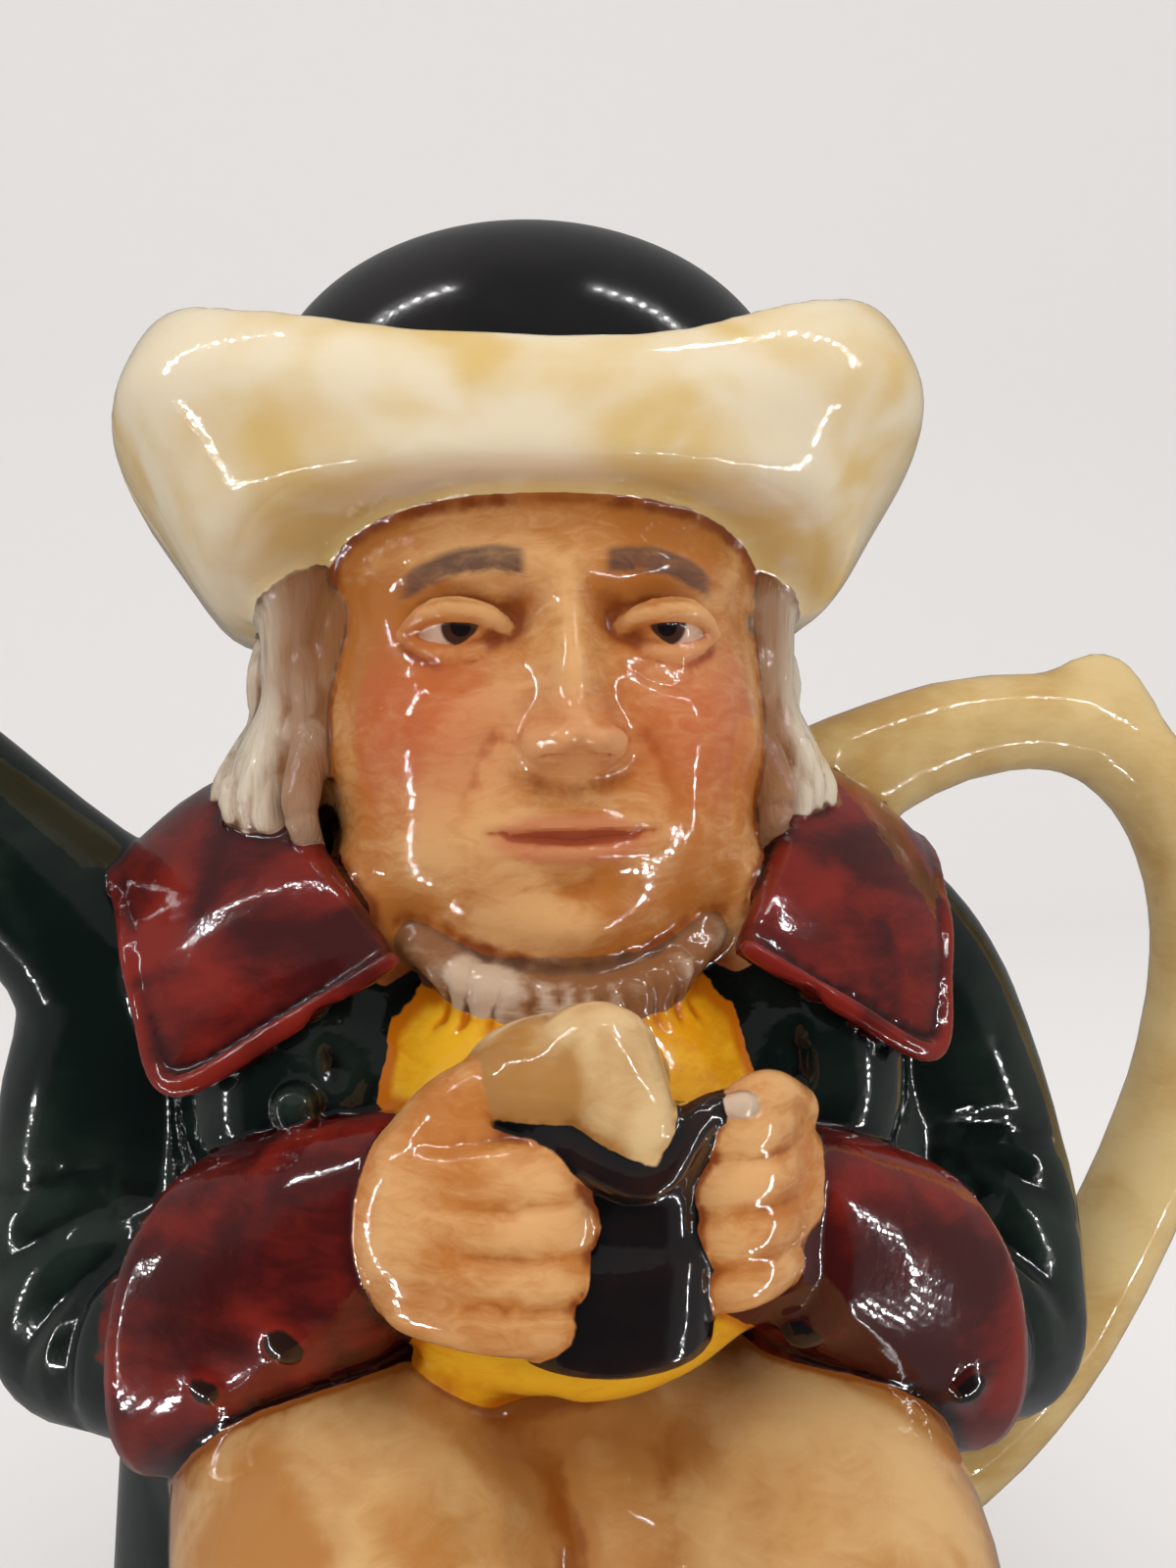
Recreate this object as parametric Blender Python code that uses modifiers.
"""Toby teapot: a glazed earthenware pot in the form of a seated man in a cocked hat, and its lid.

The figure faces -Y, its right arm carries the spout (-X) and its left side the handle (+X).
The pot is modelled as a potter would: rounded lumps of clay are laid together, fused into one
skin, tooled with grooves and ridges, then cut hollow. Forms are written in millimetres and
turned into metres at the end. The origin is at the middle of the underside.
"""

import math

import bmesh
import bpy
import numpy as np
from mathutils import Euler, Matrix, Vector

MM = 0.001
SIDES = (-1, 1)  # -1 is the figure's right, the spout's side; +1 its left, the handle's side

# Driving dimensions, in millimetres
WALL = 4.5  # fired thickness of the pot
TOUCH_GAP = 0.3  # between the lid and the pot
SEAT_Z = 177.0  # ledge in the hat that the lid rests on
SEAT_OUTER = 34.4  # radius at which the ledge meets the turned-up brim
MOUTH_RADIUS = 28.0  # clear opening in the ledge
LID_RADIUS = 32.4
LID_RISE = 24.0  # height of the dome above its rim
LID_WALL = 3.5
FLANGE_DEPTH = 6.0  # how far the lid's ring drops into the mouth
SPOUT_WALL = 3.4  # the spout is thinner than the body
HAT_X = -1.5  # the hat sits a little to the figure's right
BASE_TOP = 8.0
BASE_CENTRE_Y = -11.0
BASE_HALF_WIDTH = 55.0
BASE_HALF_DEPTH = 58.0

# Heights and place of the plain face's features
EYE_Z = 150.0
NOSE_Z = 137.0
MOUTH_Z = 128.8
CHIN_Z = 119.0
EYE_X = 10.6
EYE_Y = -31.4

# How finely the clay is worked
BROAD_VOXEL = 1.6
MIDDLE_VOXEL = 1.0
FINE_VOXEL = 0.8
POT_TRIANGLES = 5400
CAVITY_TRIANGLES = 800


def along(points, way):
    """The point at way (0 to 1) on a smooth curve through all the points."""
    spans = len(points) - 1
    place = min(max(way, 0.0), 1.0) * spans
    span = min(int(place), spans - 1)
    t = place - span
    p1, p2 = points[span], points[span + 1]
    p0 = points[span - 1] if span > 0 else 2 * p1 - p2
    p3 = points[span + 2] if span + 2 <= spans else 2 * p2 - p1
    return 0.5 * (2 * p1 + (p2 - p0) * t + (2 * p0 - 5 * p1 + 4 * p2 - p3) * t**2
                  + (3 * p1 - p0 - 3 * p2 + p3) * t**3)


# ---------------------------------------------------------------- single lumps of clay

def add_mesh(clay, lump):
    """Adds one closed lump, a bmesh of its own, to the clay."""
    bmesh.ops.remove_doubles(lump, verts=lump.verts, dist=1e-4)
    bmesh.ops.recalc_face_normals(lump, faces=lump.faces)
    mesh = bpy.data.meshes.new("lump")
    lump.to_mesh(mesh)
    lump.free()
    clay.from_mesh(mesh)
    bpy.data.meshes.remove(mesh)


def ball(clay, centre, radii, turn=(0, 0, 0)):
    """An ellipsoid; turn is in degrees about X, Y and Z."""
    lump = bmesh.new()
    angles = Euler([math.radians(a) for a in turn])
    place = Matrix.LocRotScale(Vector(centre), angles, Vector(radii))
    bmesh.ops.create_uvsphere(lump, u_segments=24, v_segments=14, radius=1, matrix=place)
    add_mesh(clay, lump)


def mould(clay, place, around=24, length=16):
    """A grid wrapped into a closed form: place(turn, way), both from 0 to 1, gives each point."""
    lump = bmesh.new()
    bmesh.ops.create_grid(lump, x_segments=around, y_segments=length, size=0.5)
    for vert in lump.verts:
        vert.co = place(vert.co.x + 0.5, vert.co.y + 0.5)
    add_mesh(clay, lump)


def limb(clay, path, radii, up=(0, 0, 1), around=20, length=24, cap=0.16):
    """A round-ended limb along a smooth path. Each radius is one number or (across, upward)."""
    points = np.array(path, float)
    sizes = np.array([r if isinstance(r, tuple) else (r, r) for r in radii], float)
    up = Vector(up)

    def place(turn, way):
        reach = min(max((way - cap) / (1 - 2 * cap), 0.0), 1.0)
        centre = Vector(along(points, reach))
        ahead = Vector(along(points, reach + 0.01) - along(points, reach - 0.01)).normalized()
        side = ahead.cross(up).normalized()
        lift = side.cross(ahead)
        size = along(sizes, reach)
        if way < cap:
            swing = math.sin(way / cap * math.pi / 2)
            back = -math.cos(way / cap * math.pi / 2)
        elif way > 1 - cap:
            swing = math.sin((1 - way) / cap * math.pi / 2)
            back = math.cos((1 - way) / cap * math.pi / 2)
        else:
            swing, back = 1.0, 0.0
        angle = turn * math.tau
        return (centre + ahead * back * size.mean() + side * math.cos(angle) * swing * size[0]
                + lift * math.sin(angle) * swing * size[1])

    mould(clay, place, around, length)


def sheet(clay, rows, thickness, bulge):
    """A soft-edged slab of clay laid over rows of points, its middle lifted by the bulge."""
    rows = [np.array(row, float) for row in rows]
    lump = bmesh.new()
    bmesh.ops.create_grid(lump, x_segments=14, y_segments=22, size=0.5)
    middle = {}
    for vert in lump.verts:
        u, v = vert.co.x + 0.5, vert.co.y + 0.5
        middle[vert] = math.sin(math.pi * u) * math.sin(math.pi * v)
        vert.co = along(np.array([along(row, u) for row in rows]), v)
    lump.normal_update()
    for vert, lift in [(vert, vert.normal * bulge * middle[vert]) for vert in lump.verts]:
        vert.co += lift
    bmesh.ops.solidify(lump, geom=lump.faces[:], thickness=thickness)
    for _ in range(3):
        bmesh.ops.smooth_vert(lump, verts=lump.verts, factor=0.5, use_axis_x=True, use_axis_y=True,
                              use_axis_z=True)
    add_mesh(clay, lump)


def mirrored(side, points):
    """The same points for the figure's other side."""
    return [(side * x, y, z) for x, y, z in points]


# ---------------------------------------------------------------- the seated body

THIGH = [(24, 4, 54), (23, -22, 60), (21, -42, 61), (19.5, -56, 58)]
THIGH_RADII = [21, (19.2, 19), (18, 18), (16, 15.5)]


# The coat's skirts, from the waist down: height, half-width, half-depth, middle's place in Y
SKIRT_ROWS = [(84, 1, 1, 6), (81, 34, 24, 6), (68, 50, 35, 7), (50, 53, 37, 8), (30, 54, 38, 8),
              (10, 54, 38.5, 8), (2, 53, 38, 8), (0, 1, 1, 8)]


def base(clay):
    """Low plinth with rounded corners and a soft upper edge."""
    def place(turn, way):
        angle = turn * math.tau
        c, s = math.cos(angle), math.sin(angle)
        square = (abs(c) ** 3.2 + abs(s) ** 3.2) ** (-1 / 3.2)
        levels = [(0, -2), (1, -2), (1, BASE_TOP - 2.5), (0.965, BASE_TOP), (0, BASE_TOP)]
        reach = way * (len(levels) - 1)
        step = min(int(reach), len(levels) - 2)
        t = reach - step
        out = levels[step][0] * (1 - t) + levels[step + 1][0] * t
        z = levels[step][1] * (1 - t) + levels[step + 1][1] * t
        return Vector((BASE_HALF_WIDTH * square * c * out,
                       BASE_CENTRE_Y + BASE_HALF_DEPTH * square * s * out, z))

    mould(clay, place, 48, 16)


def seat_and_skirts(clay):
    """The coat's skirts, hung in soft folds round the hidden seat down to the base."""
    rows = np.array(SKIRT_ROWS, float)

    def place(turn, way):
        height, wide, deep, middle = along(rows, way)
        angle = turn * math.tau
        behind = min(max(0.4 + math.sin(angle), 0), 1) * min(max((74 - height) / 30, 0), 1)
        fold = 1 + 0.028 * behind * math.sin(13 * angle + 0.9)
        return Vector((wide * fold * math.cos(angle), middle + deep * fold * math.sin(angle), height))

    mould(clay, place, 96, 24)
    ball(clay, (0, -16, 26), (30, 22, 24))


def breeches(clay):
    """Thighs held forward, knees together over the shins, and the lap between them."""
    for side in SIDES:
        limb(clay, mirrored(side, THIGH), THIGH_RADII)
        limb(clay, mirrored(side, [(20, -54, 57), (19.5, -53, 40)]), [14.5, 11.5], up=(0, 1, 0))
    limb(clay, [(-20, -31, 69), (0, -34, 69), (20, -31, 69)], [9, 8, 9])
    ball(clay, (0, -20, 60), (22, 22, 16))
    ball(clay, (0, -40, 56), (11, 17, 17))


def stockings_and_shoes(clay):
    """Calves, ankles and round-toed shoes with a square buckle, a strap and a heel."""
    for side in SIDES:
        limb(clay, mirrored(side, [(19.5, -52, 44), (20, -47, 30), (20.5, -47, 12)]),
             [11, 10.5, 7.5], up=(0, 1, 0))
        ball(clay, (side * 21, -56, 12), (8.6, 14.5, 7.2), (-6, 0, side * 8))
        ball(clay, (side * 21, -46, 9), (7.6, 8, 6))
        ball(clay, (side * 21, -56, 19), (6, 4.5, 2.6), (28, 0, side * 8))


def torso(clay):
    """The broad coated body, its shoulders and the coat fronts beside the waistcoat."""
    ball(clay, (0, 5, 84), (51, 38, 44))
    ball(clay, (0, 2, 106), (45, 31, 24))
    for side in SIDES:
        ball(clay, (side * 31, 0, 113), (19, 22, 16), (0, side * 18, 0))
        ball(clay, (side * 27, -12, 101), (15, 20, 20))


def waistcoat(clay):
    """The round front of the waistcoat, with its rolled lower edge above the breeches."""
    ball(clay, (0, -11, 95), (26, 30.5, 27))
    limb(clay, [(-19, -34, 87), (-11, -41, 81.5), (0, -44, 79.8), (11, -41, 81.5), (19, -34, 87)],
         [3, 3.6, 3.8, 3.6, 3])


# Where each elbow is, and the cuff's wide end and its wrist
ELBOW = {-1: (-52.5, -2, 73), 1: (56.5, -2, 64.5)}
CUFF_END = {-1: (-37.5, -24.5, 80), 1: (39.5, -24.5, 75.5)}
WRIST = {-1: (-15.5, -42, 93.5), 1: (16.8, -41, 91)}
# Where the buttons sit
COAT_BUTTONS = [(-27.9, -32.3, 102.4)]
CUFF_BUTTONS = [(-34.6, -39.2, 78.8), (-26.8, -43.7, 83.9), (39, -37.6, 72.5), (20.9, -42.4, 81.4)]


def upper_arm(side):
    """Path and radii of the sleeve from the shoulder to the elbow."""
    x, y, z = ELBOW[side]
    return [(side * 40, 4, 116), (side * 48.5, 3, 104), (x * 0.98, 1, z + 15), (x, y, z)], [
        (14, 12), 14.5, 14.5, 13.5]


def sleeve(clay, side):
    """Upper arm hanging from the shoulder, elbow and forearm turned to the middle."""
    path, radii = upper_arm(side)
    limb(clay, path, radii, up=(0, 1, 0))
    end = CUFF_END[side]
    limb(clay, [ELBOW[side], (end[0] + side * 3, end[1] + 8, end[2] - 4), WRIST[side]], [13.2, 11.5, 8])


def cuff(clay, side):
    """Deep turned-back cuff, wide and square at the elbow, close at the wrist."""
    end, wrist = np.array(CUFF_END[side], float), np.array(WRIST[side], float)
    back = (end - wrist) / np.linalg.norm(end - wrist)

    def place(turn, way):
        loop = np.array([(0.9, 0), (0.98, 0), (1.02, 0.08), (0.99, 0.24), (0.93, 0.42), (0.83, 0.68),
                         (0.7, 0.95), (0.6, 1.02), (0.3, 0.95), (0.3, 0.1), (0.9, 0)])
        reach = way * (len(loop) - 1)
        step = min(int(reach), len(loop) - 2)
        size, down = loop[step] + (loop[step + 1] - loop[step]) * (reach - step)
        angle = turn * math.tau
        middle = end + (wrist - end) * down + back * 1.2
        flat = Vector((back[1], -back[0], 0)).normalized()
        square = (abs(math.cos(angle)) ** 2.3 + abs(math.sin(angle)) ** 2.3) ** (-1 / 2.3)
        return (Vector(middle) + flat * math.cos(angle) * square * size * 13.0
                + Vector((back[0] * -0.12, back[1] * -0.12, 1)) * math.sin(angle) * square * size * 16.5)

    mould(clay, place, 40, 50)


def collar(clay, side):
    """Half of the broad falling collar with its rolled edge: over the shoulder, round the neck behind."""
    neck = mirrored(side, [(17, -35, 117), (24, -25, 127), (31, -4, 138), (19, 15, 142), (0, 22, 143)])
    fall = mirrored(side, [(41, -29, 103), (47.8, -15, 118.5), (50.5, 4, 126.5), (38, 29, 123), (0, 39, 121)])
    rows = [[n, tuple((a + b) / 2 for a, b in zip(n, f)), f] for n, f in zip(neck, fall)]
    sheet(clay, rows, side * 4, side * 2)
    limb(clay, mirrored(side, [(18.2, -34.2, 116.8), (29, -32, 110.2), (40.2, -28, 104.2), (44.4, -21, 111.5),
                               (47, -14, 119), (49.6, 4, 126.3), (37.4, 28.2, 123.2)]),
         [1.1] + [1.2] * 5 + [1.1], around=14, length=50, cap=0.03)


def buttons(clay):
    """Raised buttons on the coat front and two on each cuff."""
    for centre in COAT_BUTTONS + CUFF_BUTTONS:
        ball(clay, centre, (2.1, 2.1, 2.1))


def neckcloth(clay):
    """The gathered neckcloth under the chin."""
    limb(clay, [(-15.5, -28, 117.5), (-9.5, -32, 113.6), (0, -34.6, 111.6), (9.5, -32, 113.6),
                (15.5, -28, 117.5)], [2.0, 2.4, 2.6, 2.4, 2.0])
    ball(clay, (0, -23, 113.5), (15, 11, 5))


# ---------------------------------------------------------------- hands and jug

def right_fist(clay):
    """The figure's right hand: a smooth back, four fingers laid across the jug, the thumb along the foam."""
    limb(clay, [(-19, -38, 94), (-15.5, -43.5, 94.5), (-11, -46, 94.5)], [(6, 7), (8, 9.6), (8.6, 10)])
    for number in range(4):
        z = 88.2 + 4.0 * number
        bow = 1.6 * math.sin(math.pi * (number + 0.7) / 4.4)
        limb(clay, [(-16.5, -46.5 - bow, z), (-10, -50.8 - bow, z), (-3.8, -52.2 - bow, z),
                    (-1.6, -48, z)], [3.4, 3.8, 3.6, 2.8], length=14, around=12)
    limb(clay, [(-17, -41, 100.5), (-14, -45, 104), (-9, -47.8, 106.4), (-4, -48, 107)],
         [4.4, 4.3, 4.0, 3.4])
    ball(clay, (-13, -46, 99), (8, 6.5, 6))


def left_fist(clay):
    """The figure's left hand: its fingers curled on each other."""
    limb(clay, [(19.5, -38, 92.5), (17, -42.5, 94.5), (14, -45, 96)], [(6, 7), (6.6, 9.2), (6.4, 9.8)])
    for number in range(4):
        z = 89.4 + 4.4 * number
        bow = 1.4 * math.sin(math.pi * (number + 0.6) / 4.2)
        limb(clay, [(18.8, -43 - bow, z), (14.8, -48.6 - bow, z + 0.3), (10.4, -50.6 - bow, z),
                    (8.6, -46.5, z - 0.4)], [2.9, 3.3, 3.1, 2.5], length=14, around=12)


def forefinger(clay):
    """The left hand's first finger, laid over the jug's lip."""
    limb(clay, [(20, -43, 102.4), (16, -48.4, 105), (11.6, -52, 104.6)], [2.6, 2.5, 2.1])


def jug(clay):
    """Small dark jug held in front of the waistcoat, narrow at the waist, with a lipped rim."""
    profile = [(0, 83.6), (9.4, 83.6), (9.4, 88), (9.2, 92.4), (7.9, 94.8), (7.5, 98), (9.4, 103.6),
               (0, 103.6)]
    points = np.array(profile, float)

    def place(turn, way):
        reach = way * (len(points) - 1)
        step = min(int(reach), len(points) - 2)
        radius, z = points[step] + (points[step + 1] - points[step]) * (reach - step)
        angle = turn * math.tau
        lean = (z - 93) * 0.1
        return Vector((1.9 + lean + radius * math.cos(angle), -48.2 + radius * math.sin(angle), z))

    mould(clay, place, 28, 24)
    limb(clay, [(-9, -50, 104.6), (-3, -54.5, 102.6), (3.2, -57, 100.4), (8, -54, 104.5),
                (12.5, -51, 105.2)], [1.6, 1.9, 1.9, 1.7, 1.5], length=20, around=10)


def foam(clay):
    """Froth heaped over the jug's rim, running to a drop at the front."""
    ball(clay, (-2.4, -46, 107), (9.8, 9, 6.0))
    limb(clay, [(0, -49, 108), (2.4, -54.5, 104.5), (3.2, -56.6, 101.6)], [6.5, 4, 1.6], around=14)


# ---------------------------------------------------------------- head and hat

def head(clay):
    """The skull, full jaw and neck, before the features are laid on."""
    ball(clay, (0, -9, 142), (26, 26.5, 30))
    ball(clay, (0, -13, 138), (25.5, 22.5, 22))
    ball(clay, (0, -16, 128), (23.5, 20, 16))
    ball(clay, (0, -8, 118), (20, 18, 12))
    ball(clay, (0, -19, 122), (18, 16, 9))
    ball(clay, (0, -7, 157), (26, 27, 16))
    for side in SIDES:
        ball(clay, (side * 19.5, -19, 119.5), (8, 8, 8))


# The plain face's soft forms, each mirrored unless it is on the middle line:
# (x, z, half-width, half-height, height above the skin)
FACE_MASSES = [
    (9.5, EYE_Z + 6.6, 8.0, 2.6, 1.5), (0, EYE_Z + 6.0, 4.0, 3.0, 0.6),
    (10.2, EYE_Z + 0.2, 6.4, 4.4, -2.6), (4.8, EYE_Z + 1.0, 2.2, 3.4, -1.3),
    (13.5, 141, 7.5, 5.5, 2.2), (12.5, 133, 7.0, 6.0, 1.6),
    (0, 151.5, 2.3, 4.6, 2.6), (0, 145, 2.9, 4.8, 4.4), (0, NOSE_Z + 1.8, 3.5, 3.2, 6.0),
    (0, MOUTH_Z + 0.2, 8.6, 6.0, 2.4), (0, CHIN_Z, 6.4, 3.6, 2.6),
]
FACE_DETAILS = [
    (2.4, MOUTH_Z + 1.4, 2.4, 1.0, 0.8), (6.0, MOUTH_Z + 1.1, 2.6, 0.8, 0.3),
    (0, MOUTH_Z - 1.7, 4.6, 1.3, 1.2),
]


def press_face(obj, forms):
    """Raises and sinks the front of the head by smooth mounds."""
    mesh = obj.data
    skin, normals = surface(mesh)
    lift = np.zeros(len(skin))
    for x, z, wide, high, height in forms:
        for middle in {x, -x}:
            across, up = (skin[:, 0] - middle) / wide, (skin[:, 2] - z) / high
            lift += height * np.exp(-(across**2) - up**2)
    facing = np.clip(-normals[:, 1] * 2.5, 0, 1) * ((skin[:, 1] < -12) & (skin[:, 2] > 112))
    skin[:, 1] -= lift * facing
    reshape(mesh, skin)


def nose_wings(clay):
    """The soft wings beside the tip of the nose."""
    for side in SIDES:
        ball(clay, (side * 3.3, -37.0, NOSE_Z + 0.9), (2.5, 2.8, 2.2), (0, 0, side * 20))


def eyes(clay):
    """Eyeballs with a heavy upper lid and a soft lower one."""
    for side in SIDES:
        x, y, z = EYE_X, EYE_Y, EYE_Z
        ball(clay, (side * x, y + 2.8, z), (4.7, 4.2, 2.9), (0, 0, side * 9))
        limb(clay, mirrored(side, [(x - 5.6, y + 1.2, z - 0.8), (x - 3.0, y - 1.2, z + 1.3),
                                   (x + 0.6, y - 1.6, z + 2.0), (x + 3.6, y - 0.3, z + 1.5),
                                   (x + 6.0, y + 2.4, z - 0.5)]),
             [0.7, 1.15, 1.35, 1.2, 0.7], around=10, length=16)
        limb(clay, mirrored(side, [(x - 5.2, y + 1.4, z - 1.2), (x - 1.5, y - 0.5, z - 2.5),
                                   (x + 2.2, y - 0.2, z - 2.5), (x + 5.6, y + 2.4, z - 0.9)]),
             [0.6, 0.8, 0.8, 0.6], around=10, length=14)


def hair(clay):
    """Long hair: thick falls beside the face, full behind."""
    ball(clay, (0, 10, 141), (33, 22, 23))
    for side in SIDES:
        limb(clay, beside_head(side, [(26, -13, 160), (26.6, -12, 149), (27, -11, 143), (29.6, -11, 135.5),
                                      (30, -13, 130)]),
             [(6, 5), (6, 4.6), (6.2, 4.4), (7, 5.2), (5.5, 4.5)], up=(1, 0, 0))
        limb(clay, beside_head(side, [(27, -2, 152), (27.5, -3, 143), (30, -2, 133)]), [4.5, 4.5, 5.5])


def beside_head(side, points):
    """The points on one side of the head, which stands a little off the middle."""
    return [(x + HEAD_X, y, z) for x, y, z in mirrored(side, points)]


HEAD_X = -1.2
LOCKS = 8
WAVE = 1.7


def locks(clay):
    """Waved locks over the falls, which swell over the collar and sweep forward to their tips."""
    for side in SIDES:
        for number in range(LOCKS):
            t = number / (LOCKS - 1)
            phase = 2.2 * number
            path = []
            for z, out, swing, sweep in ((158, -3.0, 0, 0), (153, -1.2, 0.7, 0), (147, 0.0, 1, 0),
                                         (142, 0.3, 1, 0), (136.5, 2.8, 1, 4), (131.5 + 2 * t, 4.8, 0.8, 11),
                                         (127.5 + 2 * t, 3.0, 0.4, 18)):
                turn = math.radians(-41 + 65 * t - sweep * t)
                across = Vector((-math.sin(turn), math.cos(turn), 0))
                out += 0.6 * swing * math.sin(z / 4.0 + phase)
                spot = Vector((math.cos(turn) * (30.6 + out), -6 + math.sin(turn) * (17.8 + out), z))
                path.append(tuple(spot + across * (swing * WAVE * math.sin(z / 3.6 + phase))))
            limb(clay, beside_head(side, path), [1.5, 2.0, 2.1, 2.1, 2.3, 2.0, 1.4], around=12, length=30,
                 cap=0.05)


# Half of the hat's brim, from the front round to the back, as rows of
# (turn from the front, lip radius, lip height, foot radius, foot height)
BRIM_ROWS = [(0, 41.2, 178, 39.4, 165.5), (20, 43.0, 178.8, 40.6, 165.2), (40, 48.2, 181.2, 42.0, 163.2),
             (55, 50.2, 183.4, 40.6, 158.8), (70, 48.6, 182.8, 37.4, 154.4), (86, 46.6, 179.4, 35.2, 152.8),
             (103, 46.2, 176.4, 36, 152.4), (125, 43.6, 176.8, 36.5, 153), (146, 43, 180, 36.5, 153.6),
             (164, 45.6, 185, 36.5, 154), (180, 47.4, 187, 36.5, 154)]
LEFT_LOBE_RISE = 3.0  # how much higher the brim's left lobe stands


def brim(clay):
    """The turned-up brim: a wall that leaves the head band, swells out and rolls back at its lip."""
    rows = np.array(BRIM_ROWS, float)

    def place(turn, way):
        side = 1 if turn < 0.5 else -1
        row = along(rows, 1 - abs(1 - 2 * turn))
        angle = math.radians(side * row[0] - 90)
        lip, foot = row[1:3].copy(), row[3:5]
        if side > 0:
            lip[1] += LEFT_LOBE_RISE * math.exp(-(((row[0] - 44) / 20) ** 2))
        drop = (0.50 - 0.14 * min(row[0] / 60, 1)) * (lip[1] - foot[1])
        back = min(0.35 * (lip[0] - 36.5) + 1.2, 4.2)
        widest = np.array((lip[0], lip[1] - drop))
        lean = (widest - foot) / np.linalg.norm(widest - foot)
        swell = (foot + widest) / 2 + np.array((lean[1], -lean[0])) * 0.6
        outer = [(29, foot[1] - 1), tuple(foot), tuple(swell), tuple(widest),
                 (lip[0] - 0.28 * back, lip[1] - 0.45 * drop), (lip[0] - back, lip[1])]
        inner = [(lip[0] - back - 2.4, max(lip[1] - 0.6, SEAT_Z + 0.4)),
                 (max(lip[0] - back - 4.4, SEAT_OUTER + 1.2), max(lip[1] - 2.6, SEAT_Z + 0.6)),
                 (SEAT_OUTER + 0.5, SEAT_Z + 0.8), (29, SEAT_Z)]
        radius, z = along(np.array(outer + inner + [outer[0]], float), way)
        return Vector((HAT_X + radius * math.cos(angle), radius * math.sin(angle), z))

    mould(clay, place, 96, 44)
    ball(clay, (0, 2, 168.5), (30, 30, 9))


# ---------------------------------------------------------------- spout and handle

SPOUT_PATH = [(-28, 4, 86), (-45, 4, 107), (-62, 4, 125), (-79, 4, 141.5), (-97, 4, 156), (-113, 4, 168)]
SPOUT_RADII = [17, 14, 10.8, 9.4, 8.4, 7.8]
HANDLE_PATH = [(34, 10, 128), (46, 10, 135.5), (62, 10, 141), (78, 10, 140.5), (90, 10, 131),
               (95.5, 10, 114), (93, 10, 94), (84, 10, 73), (72, 10, 54), (58, 10, 42), (42, 10, 36)]
HANDLE_RADII = [(11, 9), (8.5, 8), (7.2, 7.4), (6.8, 7), (6.8, 7), (6.8, 7), (6.8, 7), (6.8, 7.2),
                (7, 7.4), (8, 8.5), (11, 10)]


def spout(clay):
    """Rising spout that leaves the figure's right shoulder, with a rolled lip."""
    limb(clay, SPOUT_PATH, SPOUT_RADII, around=28, length=48, cap=0.05)
    tip, before = Vector(SPOUT_PATH[-1]), Vector(SPOUT_PATH[-2])
    ahead = (tip - before).normalized()
    lip = tip + ahead * 2.5
    limb(clay, [lip - ahead * 2.2, lip + ahead * 2.2], [SPOUT_RADII[-1] + 1] * 2, around=28, length=10)


def handle(clay):
    """Round-backed loop handle with a thumb rest near its highest point."""
    limb(clay, HANDLE_PATH, HANDLE_RADII, up=(0, 1, 0), around=24, length=72, cap=0.04)
    limb(clay, [(75, 10, 146.5), (81.5, 10, 148.2), (87, 10, 143)], [3, 3.6, 3], up=(0, 1, 0), around=14)


# ---------------------------------------------------------------- fusing and tooling

def collection(name):
    """A new collection in the scene."""
    made = bpy.data.collections.new(name)
    bpy.context.scene.collection.children.link(made)
    return made


def add_object(name, mesh, group):
    """An object holding the mesh, in the collection."""
    obj = bpy.data.objects.new(name, mesh)
    group.objects.link(obj)
    return obj


def baked(obj):
    """The object's mesh with its modifiers carried out; the object keeps that mesh."""
    bpy.context.view_layer.update()
    graph = bpy.context.evaluated_depsgraph_get()
    mesh = bpy.data.meshes.new_from_object(obj.evaluated_get(graph))
    obj.modifiers.clear()
    obj.data = mesh
    return mesh


def fuse(obj, voxel, smoothing, rounds):
    """Fuses overlapping lumps into one closed skin and softens the joins."""
    remesh = obj.modifiers.new("Fuse", "REMESH")
    remesh.mode = "VOXEL"
    remesh.voxel_size = voxel
    soften = obj.modifiers.new("Soften", "SMOOTH")
    soften.factor = smoothing
    soften.iterations = rounds
    return baked(obj)


def lay_on(obj, clay):
    """Adds more lumps to an object's mesh."""
    clay.from_mesh(obj.data)
    clay.to_mesh(obj.data)
    clay.free()


def surface(mesh):
    """Arrays of the mesh's points and their normals."""
    skin = np.empty(len(mesh.vertices) * 3)
    mesh.vertices.foreach_get("co", skin)
    normals = np.empty(len(mesh.vertices) * 3)
    mesh.vertices.foreach_get("normal", normals)
    return skin.reshape(-1, 3), normals.reshape(-1, 3)


def reshape(mesh, skin):
    """Puts the points back in the mesh."""
    mesh.vertices.foreach_set("co", skin.reshape(-1))
    mesh.update()


def stroke(skin, normals, path, radius, depth, steps=14):
    """Draws a tool along a path laid on the skin: a groove where depth is above 0, else a ridge."""
    points = np.array(path, float)
    trail = np.array([along(points, n / steps) for n in range(steps + 1)])
    reach = 2.6 * radius + 5
    inside = (skin > trail.min(axis=0) - reach) & (skin < trail.max(axis=0) + reach)
    near = np.flatnonzero(inside.all(axis=1))
    patch = skin[near]
    trail = np.array([patch[np.argmin(((patch - point) ** 2).sum(axis=1))] for point in trail])
    best = np.full(len(near), 1e9)
    fade = np.zeros(len(near))
    for n, (start, end) in enumerate(zip(trail[:-1], trail[1:])):
        run = end - start
        t = np.clip(((patch - start) @ run) / max(run @ run, 1e-9), 0, 1)
        gap = np.linalg.norm(patch - start - t[:, None] * run, axis=1)
        closer = gap < best
        best[closer] = gap[closer]
        fade[closer] = np.sin(np.pi * np.clip((n + t[closer]) / steps, 0.03, 0.97))
    push = depth * np.exp(-((best / radius) ** 2)) * fade**0.5
    skin[near] -= normals[near] * push[:, None]


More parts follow.
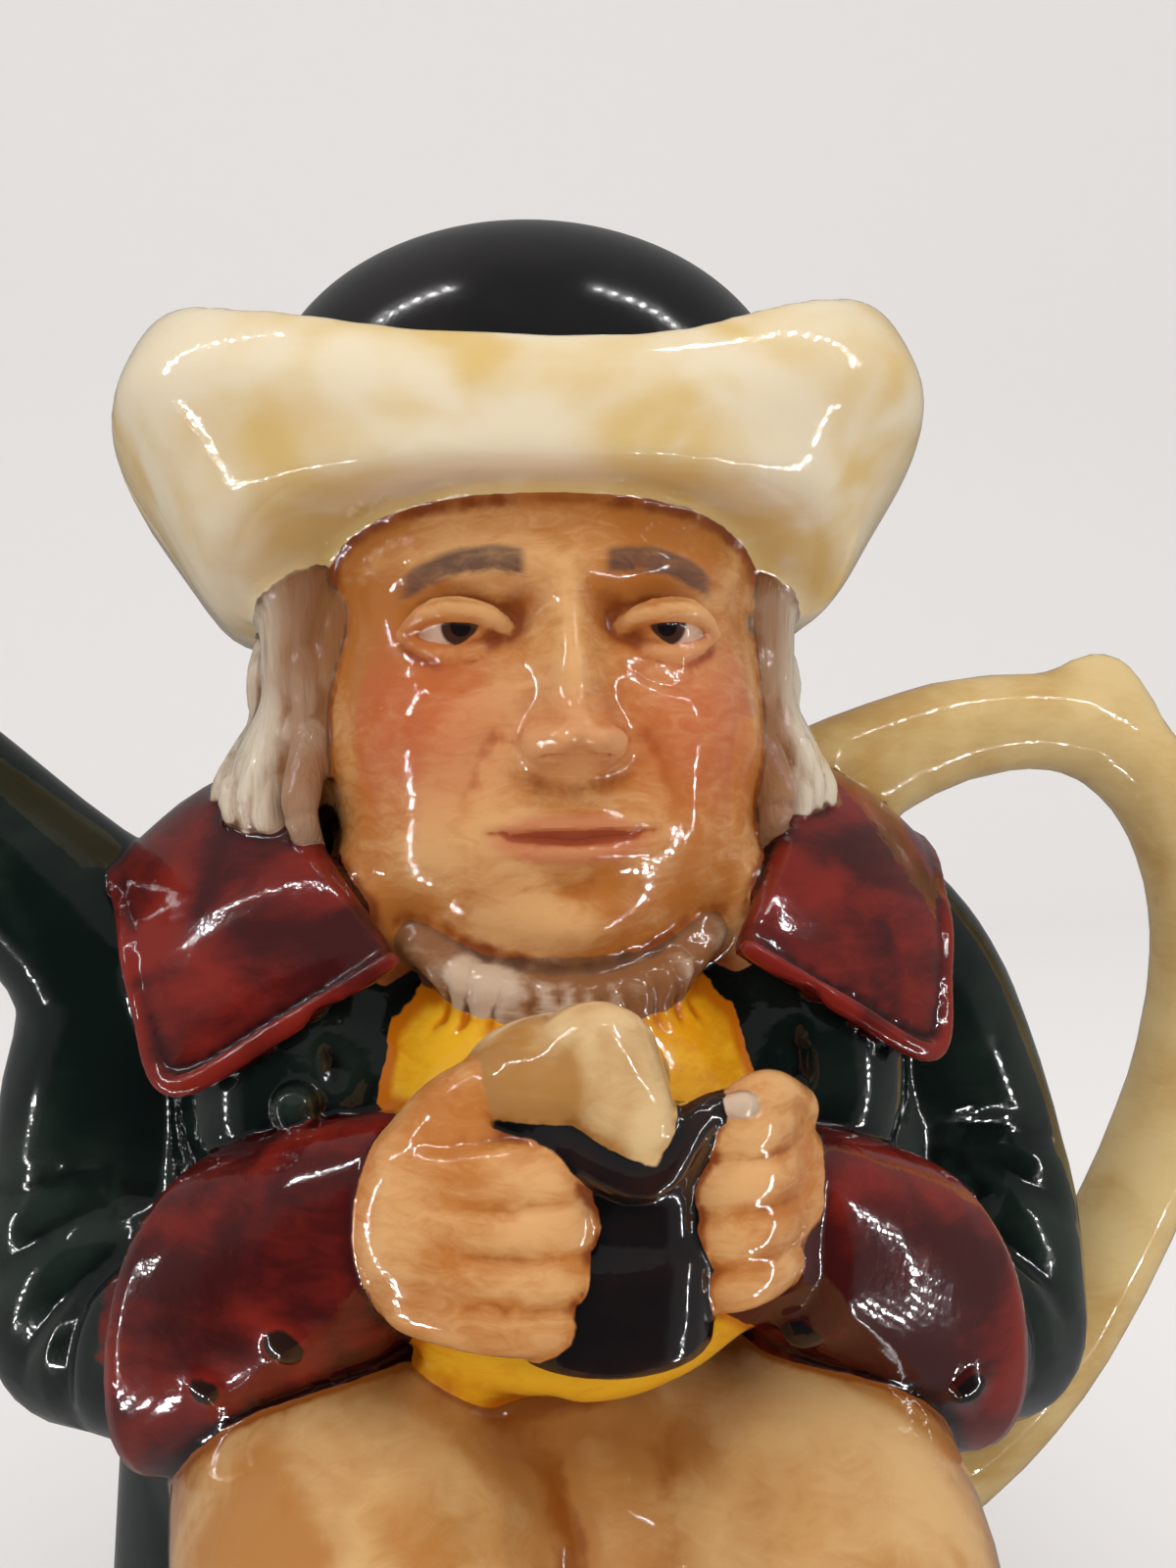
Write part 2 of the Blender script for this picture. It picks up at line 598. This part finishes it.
def face_strokes():
    """The line of the mouth and the creases beside and under the nose."""
    marks = []
    for side in SIDES:
        marks += [(mirrored(side, [(7.2, -38, NOSE_Z + 3), (9.6, -36, NOSE_Z - 1), (11.2, -34, MOUTH_Z + 1)]),
                   1.3, 0.5),
                  (mirrored(side, [(1.4, -41, NOSE_Z - 1.8), (2.6, -41, NOSE_Z - 1.6),
                                   (3.8, -40, NOSE_Z - 1.9)]), 0.6, 0.8)]
    marks += [([(-8, -35, MOUTH_Z + 0.6), (-4, -37, MOUTH_Z), (0, -38, MOUTH_Z - 0.3), (4, -37, MOUTH_Z),
                (8, -35, MOUTH_Z + 0.6)], 0.6, 1.1)]
    return marks


def hair_strokes():
    """Wavy locks down the back."""
    marks = []
    for number in range(9):
        x = -24 + 6 * number
        y = 10 + 22 * math.sqrt(max(1 - (x / 33) ** 2, 0))
        wave = 1.5 if number % 2 else -1.5
        marks.append(([(x * 0.8, y - 6, 158), (x + wave, y - 1, 148), (x - wave, y, 138),
                       (x + wave, y - 2, 126)], 1.4, 1.0))
    return marks


def cloth_strokes():
    """Creases fanned at the elbows, folds in the skirts and gathers in the neckcloth."""
    marks = []
    for side in SIDES:
        for x, y, z in ((66, -6, 88), (67, -9, 79), (62, -14, 70), (55, -16, 63)):
            crook = (47, -19, 92)
            marks.append((mirrored(side, [crook, ((crook[0] + x) / 2, (crook[1] + y) / 2 - 1,
                                                  (crook[2] + z) / 2 + 1), (x, y, z)]), 2.0, 1.5))
        marks.append((mirrored(side, [(22, -34, 112), (23.5, -35, 104), (24, -36, 96)]), 1.4, 1.2))
    for number in range(8):
        x = -14 + 4 * number
        y = -38 + 0.035 * x * x
        marks.append(([(x * 0.8, y + 1, 116), (x, y - 1, 113), (x * 1.1, y, 109)], 0.8, 0.6))
    marks.append(([(0, 42, 72), (0, 46, 48), (0, 46, 10)], 2.0, 2.0))
    marks.append(([(-5, -44, 75.5), (-3.6, -52, 71), (-1, -62, 62), (0, -64, 50)], 2.0, 1.1))
    return marks


def hand_strokes():
    """Lines between the fingers and round the thumbs."""
    marks = []
    for number in range(3):
        z = 90.2 + 4.0 * number
        marks.append(([(-13, -53, z), (-8, -55.5, z), (-2, -54, z)], 0.9, 0.4))
        z = 91.6 + 4.4 * number
        marks.append(([(18.5, -49, z), (14, -53, z + 0.3), (9.5, -53, z)], 0.9, 0.4))
    marks.append(([(-16, -48, 101), (-12, -52, 102.6), (-5, -53, 103)], 1.3, 0.5))
    return marks


def tool_surface(obj):
    """Works every stroke into the skin."""
    skin, normals = surface(obj.data)
    for path, radius, depth in face_strokes() + hair_strokes() + cloth_strokes() + hand_strokes():
        stroke(skin, normals, path, radius, depth)
    reshape(obj.data, skin)


def thin_out(obj, triangles):
    """Collapses edges until about this many triangles are left."""
    count = sum(len(face.vertices) - 2 for face in obj.data.polygons)
    collapse = obj.modifiers.new("Thin", "DECIMATE")
    collapse.ratio = triangles / count
    collapse.use_collapse_triangulate = True
    baked(obj)


def cut_flat(obj, level):
    """Cuts away everything below a level and closes the cut."""
    bm = bmesh.new()
    bm.from_mesh(obj.data)
    found = bmesh.ops.bisect_plane(bm, geom=bm.verts[:] + bm.edges[:] + bm.faces[:], dist=1e-4,
                                   plane_co=(0, 0, level), plane_no=(0, 0, -1), clear_outer=True)
    edges = [item for item in found["geom_cut"] if isinstance(item, bmesh.types.BMEdge)]
    bmesh.ops.holes_fill(bm, edges=edges)
    bmesh.ops.triangulate(bm, faces=bm.faces[:])
    bm.to_mesh(obj.data)
    bm.free()


def to_metres(obj):
    """Turns the millimetres of the modelling into the scene's metres."""
    obj.data.transform(Matrix.Scale(MM, 4))


# ---------------------------------------------------------------- the two pieces

def object_of(clay, name, group):
    """An object made of the clay."""
    mesh = bpy.data.meshes.new(name)
    clay.to_mesh(mesh)
    clay.free()
    return add_object(name, mesh, group)


def shape_pot(group):
    """The solid pot, before it is hollowed."""
    clay = bmesh.new()
    for part in (base, seat_and_skirts, breeches, stockings_and_shoes, torso, waistcoat, head, spout,
                 handle):
        part(clay)
    for side in SIDES:
        sleeve(clay, side)
    pot = object_of(clay, "teapot", group)
    fuse(pot, BROAD_VOXEL, 0.5, 6)
    clay = bmesh.new()
    for part in (hair, brim, neckcloth, nose_wings, right_fist, left_fist):
        part(clay)
    lay_on(pot, clay)
    fuse(pot, MIDDLE_VOXEL, 0.5, 7)
    press_face(pot, FACE_MASSES)
    clay = bmesh.new()
    for part in (eyes, buttons, locks, forefinger, jug, foam):
        part(clay)
    for side in SIDES:
        cuff(clay, side)
        collar(clay, side)
    lay_on(pot, clay)
    fuse(pot, FINE_VOXEL, 0.5, 2)
    press_face(pot, FACE_DETAILS)
    tool_surface(pot)
    thin_out(pot, POT_TRIANGLES)
    cut_flat(pot, 0.0)
    to_metres(pot)
    return pot


def inward(radius):
    """A radius, or a pair of them, one wall smaller."""
    return tuple(r - WALL for r in radius) if isinstance(radius, tuple) else radius - WALL


def shape_cavity(group):
    """The hollow: the broad forms again, one wall smaller, down to a level floor."""
    clay = bmesh.new()
    lumps = [((0, 5, 84), (51, 38, 44)), ((0, 2, 106), (45, 31, 24)), ((0, -11, 95), (26, 30.5, 27)),
             ((0, -9, 142), (26, 26, 30)), ((0, -13, 136), (25, 22, 20)), ((0, -4, 118), (20, 18, 14)),
             ((0, -1, 154), (30, 29, 26))]
    for centre, radii in lumps:
        ball(clay, centre, [r - WALL for r in radii])
    limb(clay, [(0, 7, 64), (0, 8, 44), (0, 8, 8)], [(46, 31), (48, 32.5), (48, 32.5)], up=(0, 1, 0),
         around=40, cap=0.12)
    for side in SIDES:
        path, radii = upper_arm(side)
        limb(clay, path, [inward(r) for r in radii], up=(0, 1, 0))
        limb(clay, mirrored(side, THIGH[:3]), [inward(r) for r in THIGH_RADII[:3]])
    cavity = object_of(clay, "hollow", group)
    fuse(cavity, BROAD_VOXEL, 0.5, 6)
    cut_flat(cavity, WALL + 1)
    thin_out(cavity, CAVITY_TRIANGLES)
    to_metres(cavity)
    return cavity


def shape_mouth(group):
    """The round way in through the hat's ledge."""
    bm = bmesh.new()
    low, high = SEAT_Z - 8, SEAT_Z + 6
    radius = MOUTH_RADIUS * MM
    bmesh.ops.create_cone(bm, cap_ends=True, segments=48, radius1=radius, radius2=radius,
                          depth=(high - low) * MM, matrix=Matrix.Translation((0, 0, (low + high) / 2 * MM)))
    return object_of(bm, "mouth", group)


def shape_ledge(group):
    """The flat round recess in the hat that the lid drops into."""
    bm = bmesh.new()
    high = SEAT_Z + 40
    bmesh.ops.create_cone(bm, cap_ends=True, segments=64, radius1=SEAT_OUTER * MM,
                          radius2=(SEAT_OUTER + 4) * MM, depth=(high - SEAT_Z) * MM,
                          matrix=Matrix.Translation((0, 0, (SEAT_Z + high) / 2 * MM)))
    return object_of(bm, "ledge", group)


def shape_bore(group):
    """The passage through the spout, from the body's hollow out past the lip."""
    clay = bmesh.new()
    tip, before = Vector(SPOUT_PATH[-1]), Vector(SPOUT_PATH[-2])
    beyond = tip + (tip - before).normalized() * 14
    path = SPOUT_PATH[1:] + [tuple(beyond)]
    radii = [radius - SPOUT_WALL for radius in SPOUT_RADII[1:] + SPOUT_RADII[-1:]]
    limb(clay, path, radii, around=16, length=18, cap=0.06)
    bore = object_of(clay, "bore", group)
    to_metres(bore)
    return bore


def shape_lid(group):
    """Hollow domed lid with a ring that drops into the mouth, turned on a Screw."""
    rim = SEAT_Z + TOUCH_GAP
    ring = MOUTH_RADIUS - 2 * TOUCH_GAP
    steps = 12
    profile = [(LID_RADIUS * math.sin(a), rim + 1.2 + (LID_RISE - 1.2) * math.cos(a))
               for a in (math.pi / 2 * n / steps for n in range(steps + 1))]
    profile += [(LID_RADIUS - 0.8, rim), (ring, rim), (ring, rim - FLANGE_DEPTH),
                (ring - LID_WALL + 0.8, rim - FLANGE_DEPTH), (ring - LID_WALL, rim)]
    inner_radius, inner_rise = ring - LID_WALL, LID_RISE - LID_WALL
    profile += [(inner_radius * math.cos(a), rim + inner_rise * math.sin(a))
                for a in (math.pi / 2 * n / 7 for n in range(1, 8))]
    mesh = bpy.data.meshes.new("lid")
    points = [(r * MM, 0, z * MM) for r, z in profile]
    mesh.from_pydata(points, [(n, n + 1) for n in range(len(points) - 1)], [])
    lid = add_object("lid", mesh, group)
    turn = lid.modifiers.new("Turn", "SCREW")
    turn.steps = 44
    turn.render_steps = 44
    turn.use_merge_vertices = True
    turn.merge_threshold = 1e-5
    return lid


def cut(obj, cutter):
    """Takes the cutter's shape out of the object."""
    boolean = obj.modifiers.new("Cut " + cutter.name, "BOOLEAN")
    boolean.operation = "DIFFERENCE"
    boolean.solver = "EXACT"
    boolean.object = cutter
    cutter.hide_render = True
    cutter.display_type = "WIRE"


def glaze(name, colour, roughness):
    """A plain glossy ceramic material."""
    material = bpy.data.materials.new(name)
    material.use_nodes = True
    shader = material.node_tree.nodes["Principled BSDF"]
    shader.inputs["Base Color"].default_value = (*colour, 1)
    shader.inputs["Roughness"].default_value = roughness
    shader.inputs["Metallic"].default_value = 0
    return material


def main():
    for obj in list(bpy.data.objects):
        bpy.data.objects.remove(obj)
    bpy.context.scene.unit_settings.system = "METRIC"
    parts, cutters = collection("toby teapot"), collection("cutters")
    pot = shape_pot(parts)
    for shape in (shape_cavity, shape_ledge, shape_mouth, shape_bore):
        cut(pot, shape(cutters))
    lid = shape_lid(parts)
    pot.data.materials.clear()
    pot.data.materials.append(glaze("cream and coloured glaze", (0.55, 0.36, 0.16), 0.12))
    lid.data.materials.append(glaze("black glaze", (0.006, 0.006, 0.008), 0.08))
    for obj in (pot, lid):
        obj.data.shade_smooth()


main()
